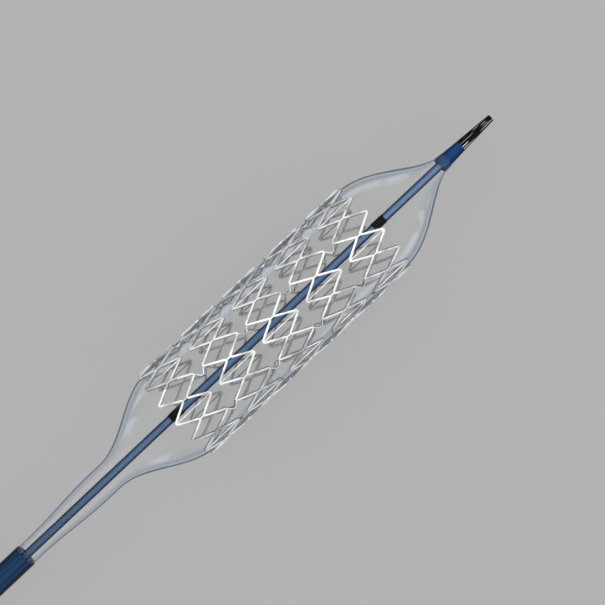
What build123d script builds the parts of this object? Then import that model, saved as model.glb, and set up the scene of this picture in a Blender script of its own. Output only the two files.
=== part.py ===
"""Balloon-expandable vascular stent on its inflated balloon, at the working end of a delivery catheter.

Millimetres. The catheter's axis is X, its soft tip points to +X, and the origin is on the axis at the
middle of the stent. +Z is up. The assembly lies on its side, on the stent.
"""
import math
import os

from build123d import *

# Stent: rows of zigzag rings cut from one tube
segment_count = 5
segment_pitch = 3.89
crowns_per_ring = 14
crown_reach = 1.59
valley_offset = 0.12
strut_width = 0.15
stent_wall = 0.20
link_width = 0.12
tie_bar_width = 0.09
connector_width = 0.09
connector_dip = 0.42
connector_floor = 0.18
first_node_angle = -5.7

# Balloon film
balloon_diameter = 7.0
film_wall = 0.04
neck_radius = 1.08
proximal_cone_start = -8.9
proximal_cone_end = -15.4
neck_taper_start = -16.4
neck_taper_end = -22.4
distal_cone_start = 9.2
distal_cone_shoulder = 2.4
distal_cone_foot = 1.65
distal_foot_rise = 0.40
neck_insertion = 1.2
sleeve_lap = 0.6
cone_facets = 4

# Shafts, marker bands, sleeve and tip
guidewire_tube_diameter = 0.60
guidewire_lumen = 0.42
catheter_shaft_diameter = 1.67
catheter_shaft_wall = 0.06
catheter_shaft_mouth = -23.2
catheter_cut = -30.0
marker_length = 1.0
marker_wall = 0.03
proximal_marker_middle = -9.26
distal_marker_middle = 9.76
sleeve_start = 15.55
sleeve_end = 17.52
sleeve_start_diameter = 1.11
sleeve_end_diameter = 0.84
sleeve_mouth_depth = 0.9
sleeve_mouth_wall = 0.07
tip_end = 20.4
tip_end_diameter = 0.52
tip_edge_bevel = 0.03

# Running and bonding clearances, each between two surfaces
stent_seat_clearance = 0.01
bond_clearance = 0.005

stent_inner_radius = balloon_diameter / 2 + stent_seat_clearance
stent_middle_radius = stent_inner_radius + stent_wall / 2
crown_angle = 360 / crowns_per_ring
strut_angle = crown_angle / 2
joined_crowns = crowns_per_ring // 2
film_radius = balloon_diameter / 2
film_neck_radius = catheter_shaft_diameter / 2 - catheter_shaft_wall - bond_clearance


def meridian(angle):
    """The plane through the stent's own axis, Z, at this angle from X, facing the way that angles grow."""
    turn = math.radians(angle)
    return Plane(origin=(0, 0, 0), x_dir=(0, 0, 1), z_dir=(-math.sin(turn), math.cos(turn), 0))


def every_other_crown(first, radius=0):
    """Places for every other crown of a ring, the first of them at this angle."""
    span = 2 * crown_angle * joined_crowns
    return PolarLocations(radius, joined_crowns, start_angle=first, angular_range=span, endpoint=False)


def centred(count):
    """This many whole steps, counted from the middle of their row."""
    return [k - (count - 1) / 2 for k in range(count)]


def facets(curve, count):
    """Points that share a curve out into this many straight lengths, both of its ends among them."""
    return [curve @ (k / count) for k in range(count + 1)]


def sleeve_radius(x):
    """The tapered sleeve's outer radius at x."""
    share = (x - sleeve_start) / (sleeve_end - sleeve_start)
    return (sleeve_start_diameter + (sleeve_end_diameter - sleeve_start_diameter) * share) / 2


# The stent is drawn with its axis upright, on planes that touch the tube, and laid along X at the end.
# A strut runs from the inside corner of a valley to the inside corner of a crown, half the way round from
# one to the other. Each long edge passes through one corner, one strut width clear of the other, and ends
# at the flat top of the bend.
half_step = stent_middle_radius * math.tan(math.radians(strut_angle / 2))
half_rise = (crown_reach - valley_offset) / 2 - strut_width
strut_middle = (crown_reach + valley_offset) / 2
corner = Vector(half_step, half_rise)
strut_lean = math.atan2(half_rise, half_step) + math.asin(strut_width / (2 * corner.length))
along = Vector(math.cos(strut_lean), math.sin(strut_lean))
flat_start = half_step - strut_width * math.tan(strut_lean / 2)
# How far the slanting meridian planes cut into the ends of a strut
trim = stent_wall * math.tan(math.radians(strut_angle / 2))
past_corner = corner + along * (trim / along.X)
flat_end = Vector(half_step + trim, half_rise + strut_width)
flat_corner = Vector(flat_start, half_rise + strut_width)

with BuildPart() as crown:
    with BuildSketch(Plane.YZ.offset(stent_inner_radius)):
        with Locations((0, strut_middle)):
            Polygon(
                -past_corner, flat_corner, flat_end, past_corner, -flat_corner, -flat_end,
                align=None,
            )
    extrude(amount=stent_wall)
    split(bisect_by=meridian(strut_angle / 2), keep=Keep.BOTTOM)
    split(bisect_by=meridian(-strut_angle / 2), keep=Keep.TOP)
    mirror(about=meridian(strut_angle / 2))

# Two zigzags back to back, their valleys linked, and a tie bar across every other cell
first_valley = -strut_angle / 2
first_crown = strut_angle / 2
outward = (Align.MIN, Align.CENTER, Align.CENTER)
link_length = 2 * (valley_offset + strut_width / 2)
tie_bar_length = 2 * (crown_reach - strut_width / 2)

with BuildPart() as segment:
    with PolarLocations(0, crowns_per_ring):
        add(crown.part)
    mirror(about=Plane.XY)
    with PolarLocations(stent_inner_radius, crowns_per_ring, start_angle=first_valley):
        Box(stent_wall, link_width, link_length, align=outward)
    with every_other_crown(first_crown, stent_inner_radius):
        Box(stent_wall, tie_bar_width, tie_bar_length, align=outward)

# A connector dips between two facing crowns, so that the stent can bend at the gap
crown_gap = segment_pitch - 2 * crown_reach
connector_root = crown_gap / 2 + strut_width / 2
dip_angle = math.degrees(connector_dip / stent_middle_radius)

with BuildPart() as connector:
    with BuildSketch(Plane.YZ.offset(stent_inner_radius)):
        with BuildLine() as dip:
            Polyline(
                (-connector_dip / 2, connector_root),
                (connector_dip / 2, connector_floor / 2),
                (connector_dip / 2, -connector_floor / 2),
                (-connector_dip / 2, -connector_root),
            )
        trace(dip.line, line_width=connector_width)
    extrude(amount=stent_wall)

with BuildPart() as upright_stent:
    with Locations(*[(0, 0, k * segment_pitch) for k in centred(segment_count)]):
        add(segment.part)
    with Locations(*[(0, 0, k * segment_pitch) for k in centred(segment_count - 1)]):
        with every_other_crown(first_crown + crown_angle + dip_angle / 2):
            add(connector.part)

# With the stent's axis laid along X, its angles grow from the near side, +Z, towards -Y
with BuildPart(Plane.YZ) as stent:
    add(upright_stent.part, rotation=(0, 0, 90 + first_node_angle - first_valley))

# The balloon's film, drawn above the axis: its two cones are S curves, in straight lengths
cone_third = (proximal_cone_start - proximal_cone_end) / 3
neck_end = catheter_shaft_mouth - neck_insertion
lap_end = sleeve_start + sleeve_lap

with BuildPart() as inflated_balloon:
    for inset, mode in ((0, Mode.ADD), (film_wall, Mode.SUBTRACT)):
        body = film_radius - inset
        neck = neck_radius - inset
        inserted = film_neck_radius - inset
        lap = bond_clearance + film_wall - inset
        foot = sleeve_radius(sleeve_start) + lap
        proximal_cone = Bezier(
            (proximal_cone_end, neck), (proximal_cone_end + cone_third, neck),
            (proximal_cone_start - cone_third, body), (proximal_cone_start, body),
        )
        distal_cone = Bezier(
            (distal_cone_start, body), (distal_cone_start + distal_cone_shoulder, body),
            (sleeve_start - distal_cone_foot, foot + distal_foot_rise), (sleeve_start, foot),
        )
        with BuildSketch(Plane.XZ):
            Polygon(
                (neck_end, 0), (neck_end, inserted), (neck_taper_end, inserted), (neck_taper_start, neck),
                *facets(proximal_cone, cone_facets), *facets(distal_cone, cone_facets),
                (lap_end, sleeve_radius(lap_end) + lap), (lap_end, 0),
                align=None,
            )
        revolve(axis=Axis.X, mode=mode)

# The guidewire tube runs the whole length, from the cut end to the back of the soft tip
with BuildPart() as guidewire_tube:
    with BuildSketch(Plane.YZ.offset(catheter_cut)):
        Circle(guidewire_tube_diameter / 2)
        Circle(guidewire_lumen / 2, mode=Mode.SUBTRACT)
    extrude(amount=sleeve_end - catheter_cut)

with BuildPart() as catheter_shaft:
    with BuildSketch(Plane.YZ.offset(catheter_cut)):
        Circle(catheter_shaft_diameter / 2)
        Circle(catheter_shaft_diameter / 2 - catheter_shaft_wall, mode=Mode.SUBTRACT)
    extrude(amount=catheter_shaft_mouth - catheter_cut)

with BuildPart() as marker_band:
    with BuildSketch(Plane.YZ.offset(-marker_length / 2)):
        Circle(guidewire_tube_diameter / 2 + marker_wall)
        Circle(guidewire_tube_diameter / 2, mode=Mode.SUBTRACT)
    extrude(amount=marker_length)

with BuildPart() as marker_band_proximal:
    with Locations((proximal_marker_middle, 0, 0)):
        add(marker_band.part)

with BuildPart() as marker_band_distal:
    with Locations((distal_marker_middle, 0, 0)):
        add(marker_band.part)

# The sleeve that bonds the balloon's distal neck: open like a funnel at its wide end, tight on the tube
# beyond
funnel_foot = sleeve_start + sleeve_mouth_depth
shaft_surface = guidewire_tube_diameter / 2

with BuildPart() as neck_sleeve:
    with BuildSketch(Plane.XZ):
        Polygon(
            (sleeve_start, sleeve_start_diameter / 2), (sleeve_end, sleeve_end_diameter / 2),
            (sleeve_end, shaft_surface), (funnel_foot, shaft_surface),
            (sleeve_start, sleeve_start_diameter / 2 - sleeve_mouth_wall),
            align=None,
        )
    revolve(axis=Axis.X)

with BuildPart() as soft_tip:
    with BuildSketch(Plane.XZ):
        Polygon(
            (sleeve_end, sleeve_end_diameter / 2), (tip_end, tip_end_diameter / 2), (tip_end, 0),
            (sleeve_end, 0),
            align=None,
        )
    revolve(axis=Axis.X)
    chamfer(soft_tip.edges().sort_by(Axis.X)[-1], length=tip_edge_bevel)
    with BuildSketch(Plane.YZ.offset(sleeve_end)):
        Circle(guidewire_lumen / 2)
    extrude(amount=tip_end - sleeve_end, mode=Mode.SUBTRACT)

os.makedirs("parts", exist_ok=True)

stent.part.label = "stent"
export_step(stent.part, "parts/stent.step")

inflated_balloon.part.label = "inflated_balloon"
export_step(inflated_balloon.part, "parts/inflated_balloon.step")

guidewire_tube.part.label = "guidewire_tube"
export_step(guidewire_tube.part, "parts/guidewire_tube.step")

catheter_shaft.part.label = "catheter_shaft"
export_step(catheter_shaft.part, "parts/catheter_shaft.step")

marker_band_proximal.part.label = "marker_band_proximal"
export_step(marker_band_proximal.part, "parts/marker_band_proximal.step")

marker_band_distal.part.label = "marker_band_distal"
export_step(marker_band_distal.part, "parts/marker_band_distal.step")

neck_sleeve.part.label = "neck_sleeve"
export_step(neck_sleeve.part, "parts/neck_sleeve.step")

soft_tip.part.label = "soft_tip"
export_step(soft_tip.part, "parts/soft_tip.step")
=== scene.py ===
"""A balloon-expandable vascular stent on its inflated balloon, at the working end of a delivery catheter.

Everything is worked out in millimetres and written in metres. The catheter's axis is X and its soft tip
points to +X. Angles round the axis start at +Z, the near side, and grow towards -Y.

Every piece is one section swept along a path. The path is given on the unrolled surface of a tube, as the
distance round it, the distance along the axis and the height over the tube. At each step the section's
first number is measured to the left of the path, seen from outside, and its second number outwards. A tube,
a cone or the balloon is a section in numbers of x and radius, swept once round the axis. The stent is a
rounded rectangle swept along each zigzag, link, tie bar and connector.

A zigzag has sharp corners at equal steps round the tube, low and high in turn. Each corner is cut by an arc
that touches both of its struts: the arc starts one tangent length before the corner, the tangent length
being the arc's radius times the tangent of half the turn.
"""
import math

import bpy
import numpy as np
from mathutils import Matrix, Vector


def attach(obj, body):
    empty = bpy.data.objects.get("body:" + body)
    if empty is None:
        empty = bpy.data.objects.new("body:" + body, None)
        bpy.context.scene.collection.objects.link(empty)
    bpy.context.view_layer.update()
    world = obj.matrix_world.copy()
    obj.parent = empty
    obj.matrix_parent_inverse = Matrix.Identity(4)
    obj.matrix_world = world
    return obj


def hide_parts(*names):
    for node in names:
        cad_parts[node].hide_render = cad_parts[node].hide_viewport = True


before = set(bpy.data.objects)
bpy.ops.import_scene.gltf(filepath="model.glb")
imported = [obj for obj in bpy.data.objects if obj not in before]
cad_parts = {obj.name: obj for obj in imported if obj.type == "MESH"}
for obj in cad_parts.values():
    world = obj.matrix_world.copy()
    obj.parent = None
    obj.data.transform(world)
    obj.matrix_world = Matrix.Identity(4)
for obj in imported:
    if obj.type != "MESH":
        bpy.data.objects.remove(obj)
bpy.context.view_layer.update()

MM = 0.001

# Stent
segment_count = 5
segment_pitch = 3.89
crowns_per_ring = 14
crown_reach = 1.59
valley_offset = 0.12
strut_width = 0.15
strut_edge_radius = 0.03
stent_inner_radius = 3.512
stent_outer_radius = 3.708
bend_radius = 0.10
link_width = 0.12
link_overlap = 0.03
tie_bar_width = 0.09
tie_bar_thickness = 0.10
tie_bar_edge_radius = 0.044
connector_width = 0.09
connector_edge_radius = 0.042
connector_dip = 0.42
connector_floor = 0.18
connector_bend_radius = 0.07
first_node_angle = -5.7
# How far the links and connectors stay inside both faces of the struts
face_inset = 0.01

# Balloon film
balloon_radius = 3.5
film_wall = 0.04
neck_radius = 1.08
neck_insertion = 1.2
neck_taper = (-22.4, -16.4)
proximal_cone = (-15.4, -8.9)
distal_cone_start = 9.2
distal_cone_shoulder = 2.4
distal_cone_foot = 1.65
distal_foot_rise = 0.40
sleeve_lap = 0.6
# Between the film and the shaft's inside, and between the film and the sleeve
bond_clearance = 0.005

# Shafts, bands, sleeve and tip
catheter_cut = -30.0
lumen_radius = 0.21
guidewire_tube_radius = 0.30
catheter_shaft_radius = 0.835
catheter_shaft_wall = 0.06
catheter_shaft_mouth = -23.2
tube_edge = 0.012
marker_wall = 0.03
marker_length = 1.0
marker_edge = 0.008
marker_middles = {"marker_band_proximal": -9.26, "marker_band_distal": 9.76}
sleeve = (15.55, 17.52)
sleeve_radii = (0.555, 0.42)
sleeve_mouth_wall = 0.07
sleeve_mouth_depth = 0.9
tip_end = 20.4
tip_end_radius = 0.26
tip_edge = 0.03
# The middle of the tip's rounded edge: how far it lies in from the end, and in from the side
tip_edge_middle = (0.010, 0.012)

# Floor and sky
floor_gap = 0.012
floor_reach = 2500.0
floor_grey = 0.445

# The paths of the stent run on the middle of its wall
path_radius = (stent_inner_radius + stent_outer_radius) / 2
half_wall = (stent_outer_radius - stent_inner_radius) / 2
once_round = 2 * math.pi * path_radius
crown_step = 2 * math.pi / crowns_per_ring
half_step = crown_step / 2 * path_radius
first_node = math.radians(first_node_angle)
low = valley_offset + strut_width / 2
high = crown_reach - strut_width / 2


# Surfaces

def turned(radius, around):
    """Points on a tube: y is minus the radius times the sine of the angle, z the radius times its cosine."""
    return -radius * np.sin(around), radius * np.cos(around)


def swept(path, section, closed):
    """The section carried along a path on the unrolled tube, as (points, quads, caps).

    The path holds distance round, distance along and height. The section runs anticlockwise. A point is the
    path's own point, plus the section's first number times the left of the path, plus its second number
    outwards. It is then rolled up: its angle is the distance round over the tube's radius, and its radius
    is the tube's plus the height. The path's direction at a point is the mean of those before and after.
    """
    path = np.asarray(path, float)
    section = np.asarray(section, float)
    ahead = np.roll(path, -1, axis=0) - path
    ahead[:, 0] -= once_round * np.rint(ahead[:, 0] / once_round)
    behind = np.roll(ahead, 1, axis=0)
    if not closed:
        ahead[-1] = ahead[-2]
        behind[0] = ahead[0]
    tangent = unit_rows(unit_rows(ahead) + unit_rows(behind))
    left = np.stack([-tangent[:, 1], tangent[:, 0], 0 * tangent[:, 0]], axis=1)
    up = np.array([0.0, 0.0, 1.0])
    flat = path[:, None, :] + left[:, None, :] * section[None, :, :1] + up * section[None, :, 1:]
    y, z = turned(path_radius + flat[..., 2], flat[..., 0] / path_radius)
    return joined_rows(np.stack([flat[..., 1], y, z], axis=-1), closed)


def unit_rows(vectors):
    """Each row divided by its own length."""
    return vectors / np.linalg.norm(vectors, axis=1)[:, None]


def joined_rows(points, closed):
    """Quads between neighbouring rows of a grid of points, whose columns close on themselves."""
    rows, columns = points.shape[:2]
    number = np.arange(rows * columns).reshape(rows, columns)
    here = number if closed else number[:-1]
    after = np.roll(number, -1, axis=0) if closed else number[1:]
    quads = np.stack([here, np.roll(here, -1, axis=1), np.roll(after, -1, axis=1), after], axis=-1)
    caps = [] if closed else [number[0][::-1], number[-1]]
    return points.reshape(-1, 3), quads.reshape(-1, 4), caps


def lathed(section, steps):
    """A closed section of (x, radius), anticlockwise, taken once round the axis in equal steps."""
    section = np.asarray(section, float)
    around = np.arange(steps) * 2 * np.pi / steps
    y, z = turned(section[None, :, 1], around[:, None])
    x = np.broadcast_to(section[None, :, 0], y.shape)
    return joined_rows(np.stack([x, y, z], axis=-1), True)


def piece(name, surfaces, material, node, sharp_angle=38):
    """One mesh object from several surfaces, with this material. It stands for a CAD node, which it hides."""
    first_points = np.cumsum([0] + [len(points) for points, quads, caps in surfaces])
    points = np.concatenate([points for points, quads, caps in surfaces]) * MM
    quads = np.concatenate([quads + first for (_, quads, _), first in zip(surfaces, first_points)])
    caps = [cap + first for (_, _, caps), first in zip(surfaces, first_points) for cap in caps]
    corners = np.concatenate([quads.ravel()] + caps)
    sizes = np.concatenate([np.full(len(quads), 4), [len(cap) for cap in caps]]).astype(np.int32)
    starts = np.concatenate([[0], np.cumsum(sizes)[:-1]]).astype(np.int32)
    mesh = bpy.data.meshes.new(name)
    mesh.vertices.add(len(points))
    mesh.vertices.foreach_set("co", points.ravel())
    mesh.loops.add(len(corners))
    mesh.loops.foreach_set("vertex_index", corners.astype(np.int32))
    mesh.polygons.add(len(sizes))
    mesh.polygons.foreach_set("loop_start", starts)
    mesh.update(calc_edges=True)
    mesh.validate()
    mesh.shade_smooth()
    mesh.set_sharp_from_angle(angle=math.radians(sharp_angle))
    mesh.materials.append(material)
    thing = bpy.data.objects.new(name, mesh)
    bpy.context.scene.collection.objects.link(thing)
    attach(thing, "root")
    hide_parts(node)
    return thing


def rounded_rectangle(width, bottom, top, radius, steps=3):
    """A rectangle with round corners, anticlockwise, centred left to right and between two heights.

    Each corner is a quarter circle about a point one radius in from both of its sides.
    """
    across = (width / 2 - radius) * np.array([1.0, 1.0, -1.0, -1.0])[:, None]
    level = np.array([bottom + radius, top - radius, top - radius, bottom + radius])[:, None]
    angle = np.radians([-90.0, 0.0, 90.0, 180.0])[:, None] + np.linspace(0, np.pi / 2, steps + 1)
    points = np.stack([across + radius * np.cos(angle), level + radius * np.sin(angle)], axis=-1)
    return points.reshape(-1, 2)


def bent(corners, radius, arc_steps, run_steps):
    """A path through corners, each inner one cut by an arc and each long run divided evenly.

    An arc's middle lies one tangent length back from its corner and one radius to the side it turns to. Its
    points go round that middle from the way in to the way out.
    """
    corners = np.asarray(corners, float)
    run = unit_rows(np.diff(corners, axis=0))
    into, out = run[:-1], run[1:]
    cosine = (into * out).sum(axis=1)[:, None]
    turn = np.arccos(cosine)
    side = unit_rows(out - into * cosine)
    middle = corners[1:-1] + radius * (side - into * np.tan(turn / 2))
    angle = (turn * np.linspace(0, 1, arc_steps + 1))[..., None]
    arcs = middle[:, None] + radius * (into[:, None] * np.sin(angle) - side[:, None] * np.cos(angle))
    path = np.concatenate([corners[:1], arcs.reshape(-1, 2), corners[-1:]])
    return divided(path, longest=3 * radius, run_steps=run_steps)


def divided(path, longest, run_steps):
    """A path whose runs over a length are each shared out into equal steps, with a height of 0 added."""
    run = np.diff(path, axis=0)
    steps = np.where(np.linalg.norm(run, axis=1) > longest, run_steps, 1)
    which = np.repeat(np.arange(len(run)), steps)
    done = np.arange(len(which)) - (np.cumsum(steps) - steps)[which]
    points = np.concatenate([path[which] + run[which] * (done / steps[which])[:, None], path[-1:]])
    return np.column_stack([points, np.zeros(len(points))])


def smooth_curve(a, b, c, d, steps):
    """Points of a cubic curve from a to d, drawn by b and c.

    With s as the share of the way and r as what is left of it, the weights are r cubed, 3 r squared s,
    3 r s squared and s cubed.
    """
    a, b, c, d = (np.array(point, float) for point in (a, b, c, d))
    s = np.linspace(0, 1, steps)[:, None]
    r = 1 - s
    return r ** 3 * a + 3 * r ** 2 * s * b + 3 * r * s ** 2 * c + s ** 3 * d


def ringed(inner, outer):
    """A closed wall: the inner line along +X, then the outer one back."""
    return np.concatenate([np.asarray(inner, float), np.asarray(outer, float)[::-1]])


def softened(ends, radius, wall, edge=tube_edge, steps=8):
    """A plain tube's wall between two values of x, its outer edges cut back a little at both ends."""
    start, end = ends
    inner = [(x, radius - wall) for x in np.linspace(start, end, steps)]
    outer = [(x, radius) for x in np.linspace(start + edge, end - edge, steps)]
    return ringed(inner, [(start, radius - edge), *outer, (end, radius - edge)])


# Stent

def sharp_corner_overshoot():
    """How far past its arc a zigzag's sharp corner would reach.

    It is the bend's radius over the sine of half the corner's angle, less the radius. The angle depends on
    the overshoot, so both are worked out in turn until they settle.
    """
    over = 0.0
    for _ in range(30):
        half_angle = math.atan2(half_step, high - low + 2 * over)
        over = bend_radius * (1 / math.sin(half_angle) - 1)
    return over


overshoot = sharp_corner_overshoot()
link_face = half_wall - face_inset
strut_section = rounded_rectangle(strut_width, -half_wall, half_wall, strut_edge_radius)
link_section = rounded_rectangle(link_width, -link_face, link_face, strut_edge_radius)
tie_bar_section = rounded_rectangle(
    tie_bar_width, -tie_bar_thickness / 2, tie_bar_thickness / 2, tie_bar_edge_radius,
)
connector_section = rounded_rectangle(connector_width, -link_face, link_face, connector_edge_radius)


def zigzag(middle, side):
    """One ring: its valleys face the segment's middle, its crowns face out, to this side.

    Corner number k is k half steps round from the first node, low where k is even and high where it is odd.
    The path starts two corners early and ends two late, and is cut to once round.
    """
    k = np.arange(-2, 2 * crowns_per_ring + 2)
    level = np.where(k % 2 == 1, high + overshoot, low - overshoot)
    start = path_radius * first_node
    corners = np.stack([start + k * half_step, middle + side * level], axis=1)
    path = bent(corners, bend_radius, arc_steps=7, run_steps=4)
    once = (path[:, 0] >= start) & (path[:, 0] < start + once_round - 1e-6)
    return swept(path[once], strut_section, True)


def straight(around, start, end, section):
    """A short bar along the axis, at this angle round the tube."""
    place = path_radius * around
    return swept([(place, start, 0.0), (place, end, 0.0)], section, False)


def connector(around, middle):
    """The small dip of wire that ties two facing crowns: out to one side, along and back."""
    reach = segment_pitch / 2 - crown_reach + strut_width / 2
    start = path_radius * around
    corners = [
        (start, middle + reach), (start + connector_dip, middle + connector_floor / 2),
        (start + connector_dip, middle - connector_floor / 2), (start, middle - reach),
    ]
    path = bent(corners, connector_bend_radius, arc_steps=6, run_steps=3)
    return swept(path, connector_section, False)


def stent_lattice():
    """Every ring, link, tie bar and connector. The tie bars and the connectors take turns round the tube."""
    lattice = []
    link_reach = low + link_overlap
    for k in range(segment_count):
        middle = (k - (segment_count - 1) / 2) * segment_pitch
        lattice += [zigzag(middle, 1), zigzag(middle, -1)]
        for j in range(crowns_per_ring):
            node_angle = first_node + j * crown_step
            lattice.append(straight(node_angle, middle - link_reach, middle + link_reach, link_section))
        for j in range(0, crowns_per_ring, 2):
            crown_angle = first_node + (j + 0.5) * crown_step
            lattice.append(straight(crown_angle, middle - high, middle + high, tie_bar_section))
    for k in range(segment_count - 1):
        middle = (k - (segment_count - 2) / 2) * segment_pitch
        for j in range(1, crowns_per_ring, 2):
            lattice.append(connector(first_node + (j + 0.5) * crown_step, middle))
    return lattice


# Balloon

def level_ended(ends, radii, steps):
    """A smooth curve from one radius to another, level at both ends. Each handle is a third of its length."""
    (start, end), (first, last) = ends, radii
    third = (end - start) / 3
    return smooth_curve((start, first), (start + third, first), (end - third, last), (end, last), steps)


def film_line(inset):
    """The film's line in x and radius, moved in from its outside by this much.

    It runs straight inside the shaft's mouth, widens to the neck, widens again to the body, narrows to the
    sleeve and ends in a straight lap that follows the sleeve's own slope.
    """
    inserted = catheter_shaft_radius - catheter_shaft_wall - bond_clearance - inset
    neck = neck_radius - inset
    body = balloon_radius - inset
    foot = sleeve_radii[0] + bond_clearance + film_wall - inset
    slope = (sleeve_radii[1] - sleeve_radii[0]) / (sleeve[1] - sleeve[0])
    start, end = distal_cone_start, sleeve[0]
    return np.concatenate([
        [(catheter_shaft_mouth - neck_insertion, inserted)],
        level_ended(neck_taper, (inserted, neck), steps=24),
        level_ended(proximal_cone, (neck, body), steps=48),
        smooth_curve(
            (start, body), (start + distal_cone_shoulder, body),
            (end - distal_cone_foot, foot + distal_foot_rise), (end, foot), steps=56,
        ),
        [(end + sleeve_lap, foot + slope * sleeve_lap)],
    ])


# Materials

def node_tools(tree):
    """Two functions for a node tree: one adds a node with its settings, the other links two sockets."""
    def add(kind, **settings):
        node = tree.nodes.new(kind)
        for key, value in settings.items():
            if key.startswith("in_"):
                node.inputs[key[3:].replace("_", " ")].default_value = value
            else:
                setattr(node, key, value)
        return node

    return add, tree.links.new


def shader(name):
    """A new material with an empty tree, as (material, add, link)."""
    material = bpy.data.materials.new(name)
    material.use_nodes = True
    material.node_tree.nodes.clear()
    return material, *node_tools(material.node_tree)


def finish_surface(add, link, look):
    """Makes this shader the surface of its material."""
    link(look, add("ShaderNodeOutputMaterial").inputs["Surface"])


def streaks(add, link, scale, stretch, detail=2.0):
    """Noise drawn out along the axis, between 0 and 1."""
    squash = add("ShaderNodeMapping", in_Scale=(stretch, 1.0, 1.0))
    noise = add("ShaderNodeTexNoise", in_Scale=scale, in_Detail=detail)
    link(add("ShaderNodeTexCoord").outputs["Object"], squash.inputs["Vector"])
    link(squash.outputs["Vector"], noise.inputs["Vector"])
    return noise.outputs["Fac"]


def grey(*stops):
    """Colour stops of plain grey, from pairs of a place and a level."""
    return [(place, (level, level, level)) for place, level in stops]


def ramp(add, link, value, *stops):
    """A colour ramp over a value. Each stop is (place, colour)."""
    node = add("ShaderNodeValToRGB")
    elements = node.color_ramp.elements
    while len(elements) < len(stops):
        elements.new(0.5)
    for element, (place, colour) in zip(elements, stops):
        element.position = place
        element.color = (*colour, 1.0)
    link(value, node.inputs["Fac"])
    return node.outputs["Color"]


def bump(add, link, height, strength, distance=0.00001):
    """A small bump from a height value, at most this many metres high."""
    node = add("ShaderNodeBump", in_Strength=strength, in_Distance=distance)
    link(height, node.inputs["Height"])
    return node.outputs["Normal"]


def from_axis(add, link, unit):
    """The distance from the catheter's axis, in units of this many metres."""
    across = add("ShaderNodeVectorMath", operation="MULTIPLY")
    across.inputs[1].default_value = (0.0, 1 / unit, 1 / unit)
    link(add("ShaderNodeTexCoord").outputs["Object"], across.inputs[0])
    length = add("ShaderNodeVectorMath", operation="LENGTH")
    link(across.outputs["Vector"], length.inputs[0])
    return length.outputs["Value"]


def mixed(add, link, share, first, second):
    """Two shaders mixed, the second of them by this share."""
    mix = add("ShaderNodeMixShader")
    link(share, mix.inputs["Fac"])
    link(first, mix.inputs[1])
    link(second, mix.inputs[2])
    return mix.outputs["Shader"]


def towards(add, link, share, colour, plain):
    """A colour mixed with a plain one, the plain one by this share."""
    mix = add("ShaderNodeMix", data_type="RGBA")
    link(share, mix.inputs["Factor"])
    link(colour, mix.inputs["A"])
    mix.inputs["B"].default_value = (*plain, 1.0)
    return mix.outputs["Result"]


def combined(add, link, operation, first, second):
    """Two values put together by this operation."""
    node = add("ShaderNodeMath", operation=operation)
    link(first, node.inputs[0])
    link(second, node.inputs[1])
    return node.outputs["Value"]


def polished_steel():
    """Bright electropolished metal, faintly uneven, with painted shade that darkens it towards the inside of
    the tube.
    """
    material, add, link = shader("polished_steel")
    metal = add("ShaderNodeBsdfPrincipled", in_Metallic=1.0)
    mottle = streaks(add, link, 900.0, 1.0)
    bright = ramp(add, link, mottle, (0.38, (0.56, 0.55, 0.53)), (0.54, (0.95, 0.95, 0.95)))
    # Painted shade: where this attribute is 1, on the faces towards the inside of the tube, the metal goes to
    # dark grey 0.38.
    painted_inner_shade = add("ShaderNodeAttribute", attribute_name="painted_inner_shade").outputs["Fac"]
    link(towards(add, link, painted_inner_shade, bright, (0.38, 0.38, 0.38)), metal.inputs["Base Color"])
    link(ramp(add, link, mottle, *grey((0.3, 0.17), (0.7, 0.10))), metal.inputs["Roughness"])
    link(bump(add, link, mottle, 0.12), metal.inputs["Normal"])
    finish_surface(add, link, metal.outputs["BSDF"])
    return material


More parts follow.
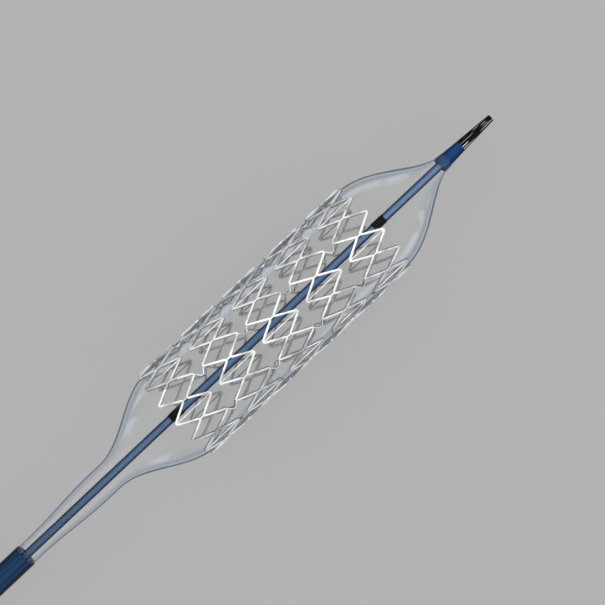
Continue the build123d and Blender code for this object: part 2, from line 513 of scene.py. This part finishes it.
def clear_film():
    """Thin clear film: see-through face on, slate blue where it turns away, with a dark rim and painted pale
    highlight streaks.

    The narrow necks count as turned away a little more than the wide body. The painted highlight streaks lie
    on the cones and the body only. Light that falls through the film isn't dimmed, so that it throws no
    shadow.
    """
    material, add, link = shader("clear_film")
    facing = add("ShaderNodeLayerWeight", in_Blend=0.5).outputs["Facing"]
    from_axis_in_cm = from_axis(add, link, 0.01)
    narrow = ramp(add, link, from_axis_in_cm, *grey((0.09, 0.15), (0.28, 0.0)))
    wide = ramp(add, link, from_axis_in_cm, *grey((0.12, 0.0), (0.22, 1.0)))
    turn = combined(add, link, "ADD", facing, narrow)

    tint = ramp(
        add, link, turn,
        (0.32, (0.998, 0.999, 1.0)), (0.48, (0.965, 0.972, 0.984)), (0.62, (0.905, 0.93, 0.965)),
        (0.68, (0.99, 0.995, 1.0)), (0.75, (0.99, 0.995, 1.0)), (0.80, (0.68, 0.73, 0.79)),
        (1.0, (0.66, 0.71, 0.77)),
    )
    see_through = add("ShaderNodeBsdfTransparent")
    link(tint, see_through.inputs["Color"])

    # Painted highlight: pale diffuse streaks where the film is half turned away, on the cones and the body.
    half_turned = ramp(add, link, facing, *grey((0.30, 0.0), (0.40, 0.15), (0.46, 0.15), (0.54, 0.0)))
    highlight_streak_mask = ramp(add, link, streaks(add, link, 900.0, 0.05, 1.0), *grey((0.44, 0.0), (0.54, 1.0)))
    painted_highlight_share = combined(add, link, "MULTIPLY", combined(add, link, "MULTIPLY", half_turned, highlight_streak_mask), wide)
    painted_highlight_white = add("ShaderNodeBsdfDiffuse", in_Color=(0.90, 0.94, 1.0, 1.0))
    gloss = add("ShaderNodeBsdfGlossy", in_Roughness=0.08, in_Color=(0.92, 0.95, 1.0, 1.0))
    shine = ramp(add, link, turn, *grey((0.0, 0.003), (0.40, 0.015), (0.75, 0.06)))
    wall = mixed(add, link, painted_highlight_share, see_through.outputs["BSDF"], painted_highlight_white.outputs["BSDF"])
    wall = mixed(add, link, shine, wall, gloss.outputs["BSDF"])

    ray = add("ShaderNodeLightPath").outputs
    undimmed = combined(add, link, "MAXIMUM", ray["Is Shadow Ray"], ray["Is Diffuse Ray"])
    clear = add("ShaderNodeBsdfTransparent").outputs["BSDF"]
    finish_surface(add, link, mixed(add, link, undimmed, wall, clear))
    return material


def dyed_plastic(name, dark, light, edge, edge_shade_turn, inside=None, far=None):
    """Extruded plastic with faint streaks along it, from dark to light, partly its own and partly painted
    highlight lines. Its edges darken where they turn from the view: partly the dye seen through more of the
    slanting wall, partly painted shade.

    It starts to darken to the edge colour, the painted shade, at the first share of a turn in
    edge_shade_turn, and is darkest at the
    second. far is (x in metres, reach, colour): up to this x, seen from the cut end, the streaks settle to
    that colour. inside is (radius in millimetres, reach, colour): up to this radius the wall has that colour.
    """
    material, add, link = shader(name)
    skin = add("ShaderNodeBsdfPrincipled", in_Roughness=0.32, in_Specular_IOR_Level=0.10)
    streak = streaks(add, link, 4200.0, 0.012)
    # The light streaks in the colour are partly the plastic's own and partly painted highlight lines along
    # the tube.
    colour = ramp(add, link, streak, (0.36, dark), (0.64, light))
    if far:
        place, reach, settled = far
        axes = add("ShaderNodeSeparateXYZ")
        link(add("ShaderNodeTexCoord").outputs["Object"], axes.inputs["Vector"])
        share = add(
            "ShaderNodeMapRange", in_From_Min=place, in_From_Max=place + reach, in_To_Min=1.0, in_To_Max=0.0,
        )
        link(axes.outputs["X"], share.inputs["Value"])
        colour = towards(add, link, share.outputs["Result"], colour, settled)
    # Painted shade: as the surface turns from the view towards its edges, the colour goes to the edge colour.
    turn = add("ShaderNodeLayerWeight", in_Blend=0.5).outputs["Facing"]
    edge_shade_share = ramp(add, link, turn, *grey((edge_shade_turn[0], 0.0), (edge_shade_turn[1], 1.0)))
    colour = towards(add, link, edge_shade_share, colour, edge)
    if inside:
        radius, reach, pale = inside
        within = ramp(add, link, from_axis(add, link, MM), *grey((radius, 1.0), (radius + reach, 0.0)))
        colour = towards(add, link, within, colour, pale)
    link(colour, skin.inputs["Base Color"])
    link(bump(add, link, streak, 0.1), skin.inputs["Normal"])
    finish_surface(add, link, skin.outputs["BSDF"])
    return material


def glossy_black():
    """The soft tip's black, with bright streaks of gloss along it."""
    material, add, link = shader("tip_black")
    skin = add(
        "ShaderNodeBsdfPrincipled",
        in_Base_Color=(0.002, 0.002, 0.002, 1.0), in_Roughness=0.2, in_Specular_IOR_Level=0.06,
    )
    gloss = add("ShaderNodeBsdfGlossy", in_Roughness=0.16, in_Color=(0.9, 0.9, 0.9, 1.0))
    streak = streaks(add, link, 8500.0, 0.02, 1.0)
    share = ramp(add, link, streak, *grey((0.60, 0.0), (0.65, 0.7)))
    finish_surface(add, link, mixed(add, link, share, skin.outputs["BSDF"], gloss.outputs["BSDF"]))
    return material


def matt_black():
    """The marker bands' dull black metal."""
    material, add, link = shader("matt_black")
    skin = add("ShaderNodeBsdfPrincipled", in_Roughness=0.6, in_Specular_IOR_Level=0.05)
    grain = streaks(add, link, 3000.0, 1.0)
    link(ramp(add, link, grain, *grey((0.3, 0.001), (0.7, 0.005))), skin.inputs["Base Color"])
    finish_surface(add, link, skin.outputs["BSDF"])
    return material


def pale_floor():
    """Plain grey. Seen directly or in a reflection, most of it is its own even colour."""
    even_share = 0.7
    material, add, link = shader("pale_floor")
    colour = (floor_grey, floor_grey, floor_grey, 1.0)
    lit = add("ShaderNodeBsdfDiffuse", in_Color=colour)
    even = add("ShaderNodeEmission", in_Color=colour)
    ray = add("ShaderNodeLightPath").outputs
    reflected = combined(add, link, "MAXIMUM", ray["Is Glossy Ray"], ray["Is Transmission Ray"])
    seen = combined(add, link, "MAXIMUM", ray["Is Camera Ray"], reflected)
    share = add("ShaderNodeMath", operation="MULTIPLY")
    link(seen, share.inputs[0])
    share.inputs[1].default_value = even_share
    finish_surface(
        add, link, mixed(add, link, share.outputs["Value"], lit.outputs["BSDF"], even.outputs["Emission"]),
    )
    return material


# Pieces

stent = piece("stent_lattice", stent_lattice(), polished_steel(), "stent")
# Each section has four points at each of its corners, of which the first and the last corners are on the
# inside; their points carry the steel's painted shade
section_points = np.repeat([1.0, 0.0, 0.0, 1.0], 4)
painted_inner_shade = stent.data.attributes.new("painted_inner_shade", "FLOAT", "POINT")
painted_inner_shade.data.foreach_set("value", np.tile(section_points, len(stent.data.vertices) // len(section_points)))

film = ringed(film_line(film_wall), film_line(0.0))
piece("balloon_film", [lathed(film, steps=144)], clear_film(), "inflated_balloon")

tube = softened(
    (catheter_cut, sleeve[1]), guidewire_tube_radius, guidewire_tube_radius - lumen_radius, steps=60,
)
# The third colour is the painted edge shade; the pair after it is the turn over which it comes in.
tube_blue = dyed_plastic(
    "guidewire_tube_blue", (0.08, 0.155, 0.28), (0.15, 0.245, 0.40), (0.0, 0.006, 0.06), (0.05, 0.34),
    far=(-0.020, 0.016, (0.052, 0.098, 0.18)),
)
piece("guidewire_tube_wall", [lathed(tube, steps=64)], tube_blue, "guidewire_tube")

shaft = softened((catheter_cut, catheter_shaft_mouth), catheter_shaft_radius, catheter_shaft_wall)
# The third colour is the painted edge shade; the pair after it is the turn over which it comes in.
shaft_blue = dyed_plastic(
    "catheter_shaft_blue", (0.0, 0.012, 0.055), (0.012, 0.048, 0.12), (0.0, 0.003, 0.022), (0.22, 0.52),
    inside=(0.78, 0.02, (0.24, 0.33, 0.46)),
)
piece("catheter_shaft_tube", [lathed(shaft, steps=96)], shaft_blue, "catheter_shaft")

band_black = matt_black()
for name, middle in marker_middles.items():
    ends = (middle - marker_length / 2, middle + marker_length / 2)
    band = softened(ends, guidewire_tube_radius + marker_wall, marker_wall, marker_edge)
    piece(name + "_ring", [lathed(band, steps=64)], band_black, name)

sleeve_wall = [
    (sleeve[0], sleeve_radii[0] - sleeve_mouth_wall),
    (sleeve[0] + sleeve_mouth_depth, guidewire_tube_radius), (sleeve[1], guidewire_tube_radius),
    (sleeve[1], sleeve_radii[1]),
    (sleeve[0] + tube_edge, sleeve_radii[0]), (sleeve[0], sleeve_radii[0] - tube_edge),
]
# The third colour is the painted edge shade; the pair after it is the turn over which it comes in.
sleeve_blue = dyed_plastic(
    "sleeve_blue", (0.002, 0.036, 0.13), (0.010, 0.065, 0.19), (0.0, 0.008, 0.05), (0.10, 0.45),
)
piece("tapered_sleeve", [lathed(sleeve_wall, steps=72)], sleeve_blue, "neck_sleeve")

tip_wall = [
    (sleeve[1], lumen_radius), (tip_end, lumen_radius), (tip_end, tip_end_radius - tip_edge),
    (tip_end - tip_edge_middle[0], tip_end_radius - tip_edge_middle[1]),
    (tip_end - tip_edge, tip_end_radius), (sleeve[1], sleeve_radii[1]),
]
piece("tapered_tip", [lathed(tip_wall, steps=72)], glossy_black(), "soft_tip")


# Floor, light and camera

floor_corners = floor_reach * MM * np.array([(-1, -1, 0), (1, -1, 0), (1, 1, 0), (-1, 1, 0)])
floor_mesh = bpy.data.meshes.new("floor")
floor_mesh.from_pydata(floor_corners.tolist(), [], [(0, 1, 2, 3)])
floor_mesh.materials.append(pale_floor())
floor = bpy.data.objects.new("floor", floor_mesh)
floor.location = (0, 0, -(stent_outer_radius + floor_gap) * MM)
bpy.context.scene.collection.objects.link(floor)


def studio_sky():
    """A plain pale sky: the floor's own grey at the horizon and below, nearly white above 17 degrees."""
    world = bpy.data.worlds.new("studio")
    bpy.context.scene.world = world
    world.use_nodes = True
    add, link = node_tools(world.node_tree)
    axes = add("ShaderNodeSeparateXYZ")
    link(add("ShaderNodeTexCoord").outputs["Generated"], axes.inputs["Vector"])
    sky = world.node_tree.nodes["Background"]
    sky.inputs["Strength"].default_value = 1.0
    level = ramp(add, link, axes.outputs["Z"], *grey((0.0, floor_grey), (0.30, 0.92), (1.0, 1.0)))
    link(level, sky.inputs["Color"])


def softbox(name, place, size, power):
    """A square lamp at this place, in metres, that looks at the stent."""
    lamp = bpy.data.lights.new(name, "AREA")
    lamp.shape = "SQUARE"
    lamp.size = size
    lamp.energy = power
    thing = bpy.data.objects.new(name, lamp)
    thing.location = place
    thing.rotation_mode = "QUATERNION"
    thing.rotation_quaternion = (-Vector(place)).to_track_quat("-Z", "Y")
    bpy.context.scene.collection.objects.link(thing)


studio_sky()
softbox("overhead", (0.03, 0.08, 0.40), size=0.20, power=0.07)
softbox("left", (-0.25, 0.28, 0.30), size=0.14, power=0.10)
softbox("right", (0.22, -0.30, 0.30), size=0.14, power=0.10)

# The view was fitted to points of the object in the photo
photo_width_in_pixels = 605
focal_length_in_pixels = 1184.65
camera_place = Vector((-0.134, 1.281, 81.057))
view_right = Vector((0.72759, -0.68511, 0.0352))
view_forward = Vector((0.02911, -0.02043, -0.99937))

camera_data = bpy.data.cameras.new("camera")
camera_data.sensor_fit = "HORIZONTAL"
camera_data.sensor_width = 36.0
camera_data.lens = camera_data.sensor_width * focal_length_in_pixels / photo_width_in_pixels
camera_data.clip_start = 0.002
camera_data.clip_end = 5.0
camera = bpy.data.objects.new("camera", camera_data)
up = view_right.cross(view_forward).normalized()
right = view_forward.cross(up).normalized()
camera.rotation_mode = "QUATERNION"
camera.rotation_quaternion = Matrix((right, up, -view_forward.normalized())).transposed().to_quaternion()
camera.location = camera_place * MM
bpy.context.scene.collection.objects.link(camera)
bpy.context.scene.camera = camera

bpy.context.scene.view_settings.view_transform = "Standard"
